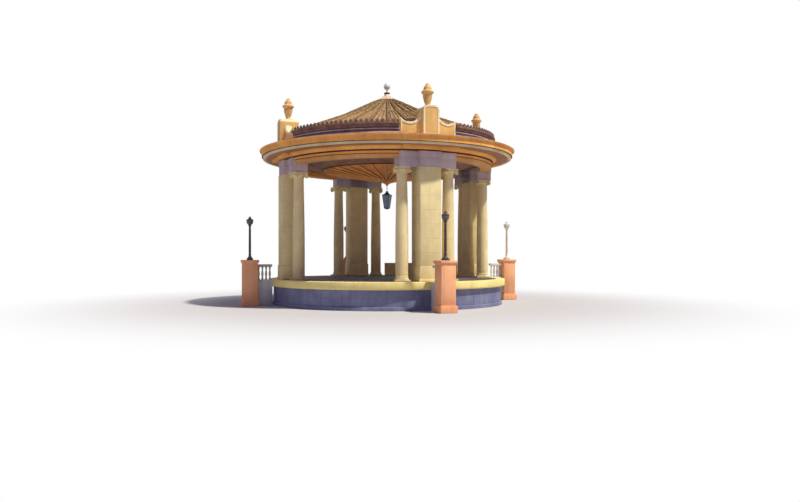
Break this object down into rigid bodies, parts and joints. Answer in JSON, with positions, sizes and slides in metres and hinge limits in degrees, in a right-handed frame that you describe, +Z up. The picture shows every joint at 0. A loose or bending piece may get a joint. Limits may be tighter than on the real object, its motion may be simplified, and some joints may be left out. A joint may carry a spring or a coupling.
{
  "type": "bandstand",
  "caption": "Round stone park bandstand with paired Ionic columns and square piers, a deep cornice, scrolled parapets with urns, a tiled cone roof and lamp wings.",
  "frame": {"origin": "on the ground at the middle of the round plan", "axes": "+Z up; -Y is the front opening, +Y the opening with the low wall; the four column groups stand on the diagonals"},
  "size_m": [12.32, 12.32, 10.847],
  "materials": {
    "column_stone": "smooth dressed stone",
    "pier_stone": "smooth dressed stone",
    "parapet_stone": "smooth dressed stone",
    "cornice_stone": "smooth dressed stone",
    "platform_stone": "dressed stone",
    "base_stone": "dressed stone",
    "attic_stone": "smooth dressed stone",
    "eaves_tile": "matt fired clay",
    "roof_tile": "matt fired clay",
    "cap_metal": "matt paint",
    "finial_metal": "weathered",
    "ceiling_board": "painted boards",
    "ceiling_rib": "painted",
    "lantern_metal": "dark paint",
    "lantern_glass": "clear",
    "lamp_metal": "pale paint"
  },
  "bodies": {
    "root": {"attic_ring": "attic_stone", "back_wall": "platform_stone", "beam_back": "cornice_stone", "beam_front": "cornice_stone", "beam_left": "cornice_stone", "beam_right": "cornice_stone", "capitals_back_left": "column_stone", "capitals_back_right": "column_stone", "capitals_front_left": "column_stone", "capitals_front_right": "column_stone", "ceiling": "ceiling_board", "ceiling_boss": "ceiling_rib", "ceiling_ribs": "ceiling_rib", "columns_back_left": "column_stone", "columns_back_right": "column_stone", "columns_front_left": "column_stone", "columns_front_right": "column_stone", "cornice": "cornice_stone", "eaves_tiles": "eaves_tile", "foundation": "base_stone", "impost_back_left": "pier_stone", "impost_back_right": "pier_stone", "impost_front_left": "pier_stone", "impost_front_right": "pier_stone", "lamp_standards": "lamp_metal", "lamp_wing_back_left": "platform_stone", "lamp_wing_back_right": "platform_stone", "lamp_wing_front_left": "platform_stone", "lamp_wing_front_right": "platform_stone", "lantern_frame": "lantern_metal", "lantern_glass": "lantern_glass", "parapet_back_left": "parapet_stone", "parapet_back_right": "parapet_stone", "parapet_front_left": "parapet_stone", "parapet_front_right": "parapet_stone", "pier_back_left": "pier_stone", "pier_back_right": "pier_stone", "pier_front_left": "pier_stone", "pier_front_right": "pier_stone", "platform_slab": "platform_stone", "roof_cap": "cap_metal", "roof_finial": "finial_metal", "roof_shell": "roof_tile", "urns": "parapet_stone"}
  },
  "joints": []
}
